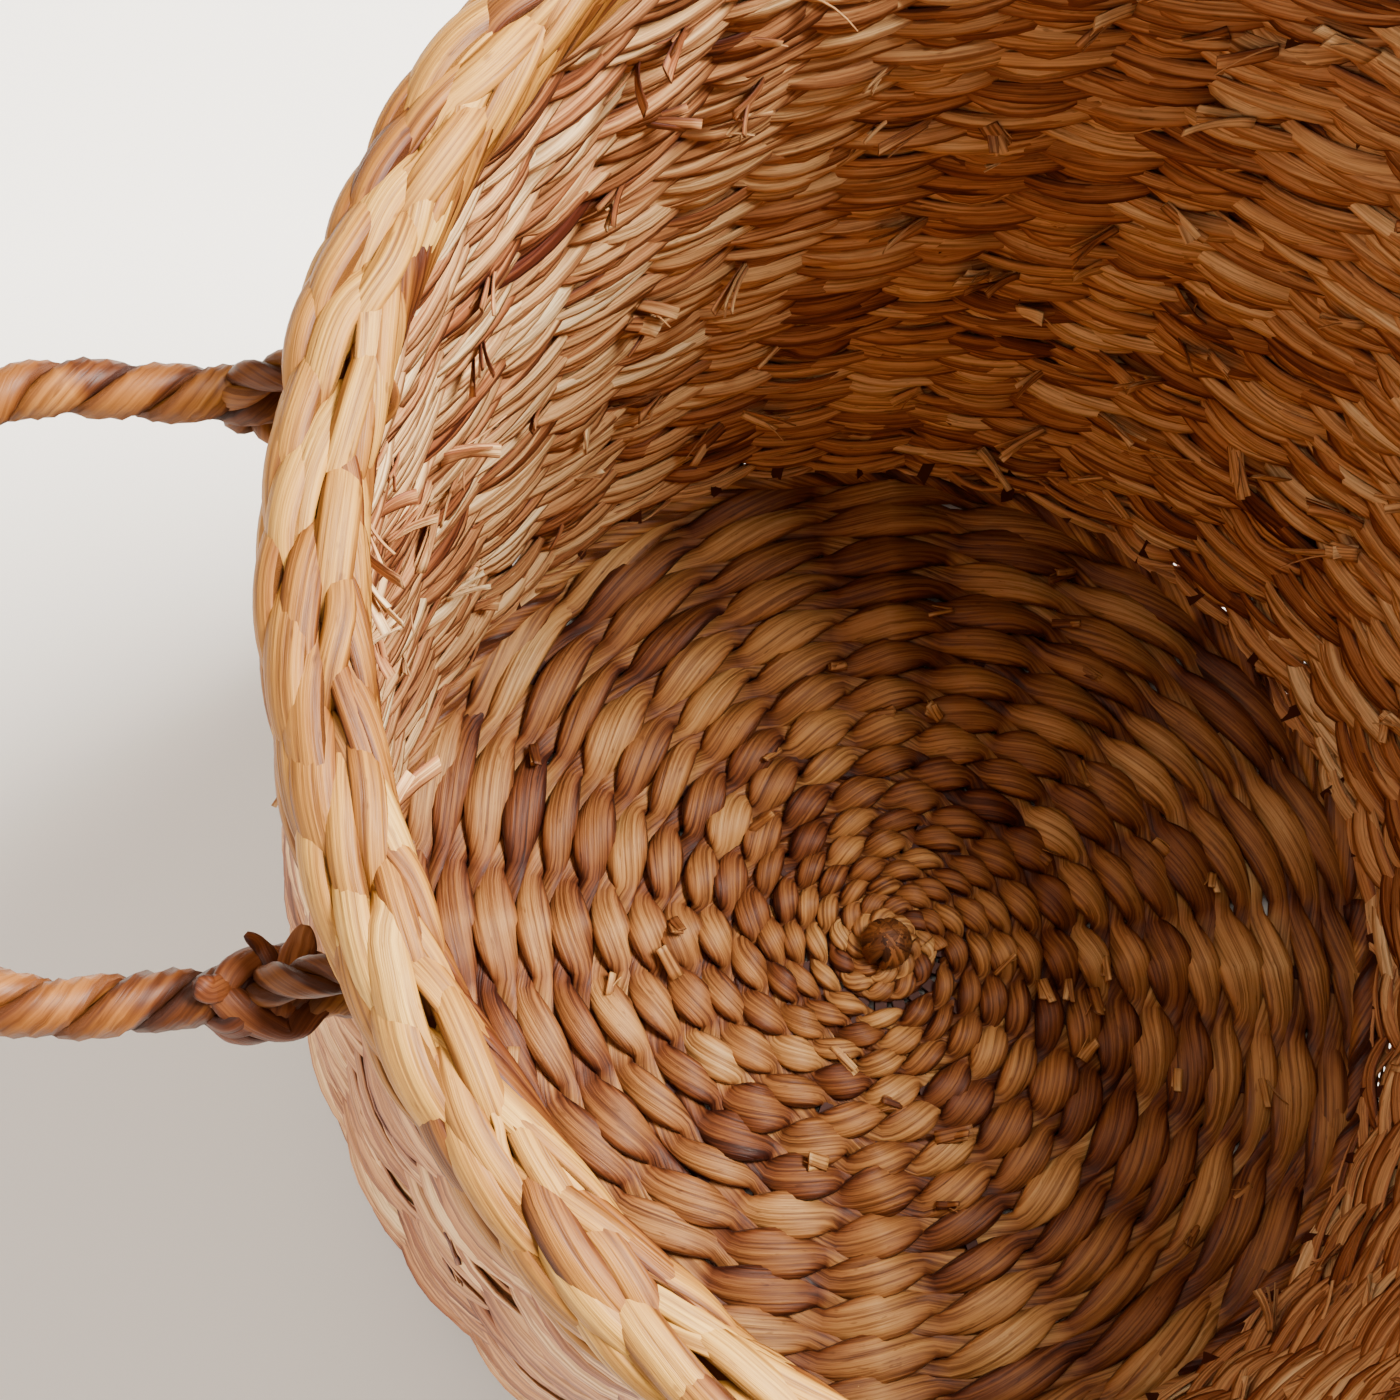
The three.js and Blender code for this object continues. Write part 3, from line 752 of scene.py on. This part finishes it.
def handle_rope(side, material, seed):
    """The loop of rope, and at each end the eye that turns in the wall."""
    strands = Strands(seed)
    path = loop_path()
    from_end = np.minimum(np.arange(len(path)), np.arange(len(path))[::-1]) * ROPE_STEP
    rope(strands, path, ROPE_D * (0.80 + 0.17 * np.clip(from_end / LEG_TAPER, 0, 1)), ROPE_LAY)
    strands.move(lambda points: flattened(points, *LEG_PRESS))
    rng = strands.rng
    turn = np.linspace(0, 2 * np.pi, 49)
    out = np.stack([np.cos(turn), 0 * turn, np.sin(turn)], axis=-1)
    for y in (-EYE_Y, EYE_Y):
        ring = out * EYE_R + [0, y, 0]
        for strand in (0, 1):
            phase = 4 * turn + np.pi * strand
            spoke = out * np.cos(phase)[:, None] + np.array([0, 1, 0]) * np.sin(phase)[:, None]
            strands.sweep(ring + spoke * EYE_D * 0.22, spoke, EYE_D * 0.62, EYE_D * 0.46, sides=10,
                          ridge=0.0002, ridge_cell=0.01, shade=rng.uniform(0.3, 0.7))
    strands.move(lambda points: placed(points, side))
    strands.piece(f"{side}_handle_strands", material, f"{side}_handle", [f"{side}_handle_rope"], "rope_fibre")


def handle_knot(side, material, seed):
    """Overhand splice round one leg: broad cords that cross over it, and cut tails."""
    strands = Strands(seed)
    rng = strands.rng
    middle = np.array([0, EYE_Y + HANDLE_SPREAD / 2, 0])
    for width, thick, cord in KNOT_CORDS:
        along, around, reach = spline(cord, 30).T
        around = np.radians(around + rng.normal(0, 6))  # each cord a little off its place
        outward = np.stack([0 * around, -np.cos(around), np.sin(around)], axis=-1)
        centres = outward * (reach - thick / 2)[:, None] / 1000
        centres[:, 0] = KNOT_START + (along + rng.normal(0, 0.3)) / 1000
        share = np.linspace(-1, 1, 30)
        taper = 0.35 + 0.65 * (1 - share ** 4)
        strands.sweep(centres, outward, width / 1000 * taper, thick / 1000 * taper, sides=14, ridge=0.00022,
                      ridge_cell=0.008, shade=rng.uniform(0.1, 0.9) + drift(rng, share, 0.5, 0.08),
                      roll=drift(rng, share, 0.7, 0.12))
    strands.move(lambda points: placed(flattened(points, *KNOT_PRESS) + middle, side))
    strands.piece(f"{side}_handle_knot_strands", material, f"{side}_handle", [f"{side}_handle_knot"],
                  "knot_fibre")


# Cut and frayed ends


def stub(strands, at, direction, normal, length, width, shade):
    """Cut end of folded leaf: one to three uneven flat layers, paler at the cut, and a loose fibre."""
    rng = strands.rng
    direction = direction / np.linalg.norm(direction)
    flat = np.cross(direction, normal)
    flat /= np.linalg.norm(flat)
    up = np.cross(flat, direction)
    t = np.linspace(0, 1, 6)
    for layer in range(rng.integers(1, 4)):
        reach = length * rng.uniform(0.70, 1.10)
        turn = rng.normal(0, 0.16)
        curl = rng.normal(0.05, 0.16)
        heading = direction * math.cos(turn) + flat * math.sin(turn)
        centres = at + heading * reach * t[:, None] + up * (0.0007 * layer + curl * reach * t[:, None] ** 2)
        outward = up + flat * rng.normal(0, 0.35) * t[:, None]
        strands.sweep(centres, unit(outward), width * rng.uniform(0.45, 0.95) * (1 - 0.18 * t), 0.0008,
                      sides=10, ridge=0.00010, ridge_cell=0.005,
                      shade=shade + rng.normal(0, 0.12) + 0.20 * t ** 3)
    reach = length * rng.uniform(0.60, 1.05)
    start = at + flat * width * rng.uniform(-0.4, 0.4)
    bend = flat * rng.normal(0, 0.25) + up * rng.normal(0.05, 0.15)
    centres = start + direction * reach * t[:, None] + bend * reach * t[:, None] ** 2
    strands.sweep(centres, np.tile(up, (len(t), 1)), 0.0011 - 0.0007 * t, 0.0006, sides=5, shade=shade + 0.1)


def wall_stubs(material):
    """Ends of the leaves that were cut off where a new one was laid in, most of them inside."""
    strands = Strands(70)
    rng = strands.rng
    for number in range(WALL_CUT_ENDS):
        face = 1 if number % OUTER_CUT_END == 0 else -1
        angle = rng.uniform(0, 2 * np.pi)
        z = rng.uniform(0.03, WALL_TOP - 0.008)
        out = np.array([math.cos(angle), math.sin(angle), 0.0])
        along = np.array([-math.sin(angle), math.cos(angle), 0.0]) * rng.choice([-1, 1], p=[0.3, 0.7])
        at = out * (wall_radius(z) + face * 0.0036) + [0, 0, z]
        lean = rng.uniform(0.15, 0.70) if face < 0 else rng.uniform(0.05, 0.30)
        direction = along * math.cos(lean) + out * face * math.sin(lean) + [0, 0, rng.normal(-0.15, 0.35)]
        length = rng.uniform(0.010, 0.020) if face < 0 else rng.uniform(0.006, 0.010)
        stub(strands, at, direction, out * face, length, rng.uniform(0.0048, 0.0102), rng.uniform(0.30, 0.85))
    strands.piece("wall_cut_ends", material, "basket", (), "wall_fibre")


def base_stubs(material):
    """A few cut ends that stand up from the base."""
    strands = Strands(71)
    rng = strands.rng
    for _ in range(BASE_CUT_ENDS):
        angle = rng.uniform(0, 2 * np.pi)
        radius = rng.uniform(0.035, 0.16)
        out = np.array([math.cos(angle), math.sin(angle), 0.0])
        along = np.array([-math.sin(angle), math.cos(angle), 0.0])
        at = out * radius + [0, 0, BASE_T - 0.0016]
        direction = along * rng.choice([-1, 1]) + out * rng.normal(0, 0.4) + [0, 0, rng.uniform(0.05, 0.5)]
        stub(strands, at, direction, np.array([0, 0, 1.0]), rng.uniform(0.007, 0.013),
             rng.uniform(0.0035, 0.0065), rng.uniform(0.35, 0.8))
    strands.piece("base_cut_ends", material, "basket", (), "base_fibre")


# Setting


def setting():
    """Pale floor and soft studio light."""
    floor_mesh = bpy.data.meshes.new("floor")
    corners = [(x * FLOOR_REACH, y * FLOOR_REACH, 0) for x, y in ((-1, -1), (1, -1), (1, 1), (-1, 1))]
    floor_mesh.from_pydata(corners, [], [(0, 1, 2, 3)])
    floor = bpy.data.objects.new("floor", floor_mesh)
    bpy.context.collection.objects.link(floor)
    nodes = Nodes("floor_paper")
    nodes.shader.inputs["Base Color"].default_value = linear(*FLOOR_SHADE)
    nodes.shader.inputs["Roughness"].default_value = 0.9
    floor_mesh.materials.append(nodes.material)

    world = bpy.data.worlds.new("studio")
    bpy.context.scene.world = world
    world.use_nodes = True
    background = world.node_tree.nodes["Background"]
    background.inputs["Color"].default_value = WORLD_COLOUR
    background.inputs["Strength"].default_value = WORLD_STRENGTH
    for name, values in LIGHTS.items():
        add_light(name, *values)


def add_light(name, azimuth, elevation, distance, size, power, colour):
    """Square soft light that looks at the basket's mouth from a direction given in degrees."""
    data = bpy.data.lights.new(name, "AREA")
    data.shape = "SQUARE"
    data.size = size
    data.energy = power
    data.color = colour
    light = bpy.data.objects.new(name, data)
    bpy.context.collection.objects.link(light)
    around, up = math.radians(azimuth), math.radians(elevation)
    away = Vector((math.cos(around) * math.cos(up), math.sin(around) * math.cos(up), math.sin(up)))
    light.location = Vector((0, 0, HEIGHT * 0.6)) + away * distance
    light.rotation_euler = away.to_track_quat("Z", "Y").to_euler()


def camera():
    """The photograph's camera, turned so that the handles lie on X."""
    turn = Matrix.Rotation(-HANDLE_YAW, 3, "Z")
    axes = Matrix((CAMERA_RIGHT, -CAMERA_DOWN, -CAMERA_AHEAD)).transposed()
    data = bpy.data.cameras.new("camera")
    data.sensor_width = SENSOR_MM
    data.lens = SENSOR_MM * FOCAL_PIXELS / PHOTO_PIXELS
    data.clip_start = 0.01
    view = bpy.data.objects.new("camera", data)
    bpy.context.collection.objects.link(view)
    view.matrix_world = Matrix.Translation(turn @ CAMERA_AT) @ (turn @ axes).to_4x4()
    bpy.context.scene.camera = view


def main():
    setting()
    camera()
    base_fibre = fibre_material("base_fibre", BASE_SHADES, streak=0.62, rough=0.50, bump=0.7, gloss=0.24)
    wall_fibre = fibre_material("wall_fibre", WALL_SHADES, streak=0.60, rough=0.55, bump=0.7)
    rim_fibre = fibre_material("border_fibre", RIM_SHADES, streak=0.62, rough=0.5, bump=0.7)
    rope_fibre = fibre_material("rope_fibre", ROPE_SHADES, streak=0.4, rough=0.48, bump=0.4)
    knot_fibre = fibre_material("knot_fibre", KNOT_SHADES, streak=0.45, rough=0.5, bump=0.5)
    hub_fibre = fibre_material("hub_fibre", HUB_SHADES, streak=0.5, rough=0.55, bump=0.5)
    cane = fibre_material("stake_cane", BASE_SHADES, streak=0.4, rough=0.6, bump=0.2)
    base_weave(base_fibre)
    foot_row(base_fibre)
    hub_knob(hub_fibre)
    hub_collar(base_fibre)
    wall_weave(wall_fibre)
    border(rim_fibre)
    for index, side in enumerate(("left", "right")):
        handle_rope(side, rope_fibre, 80 + index)
        handle_knot(side, knot_fibre, 90 + index)
    wall_stubs(wall_fibre)
    base_stubs(base_fibre)
    for number in range(1, STAKES + 1):
        stake = bpy.data.objects[f"stake_{number:02d}"]
        stake.data.materials.clear()
        stake.data.materials.append(cane)


main()
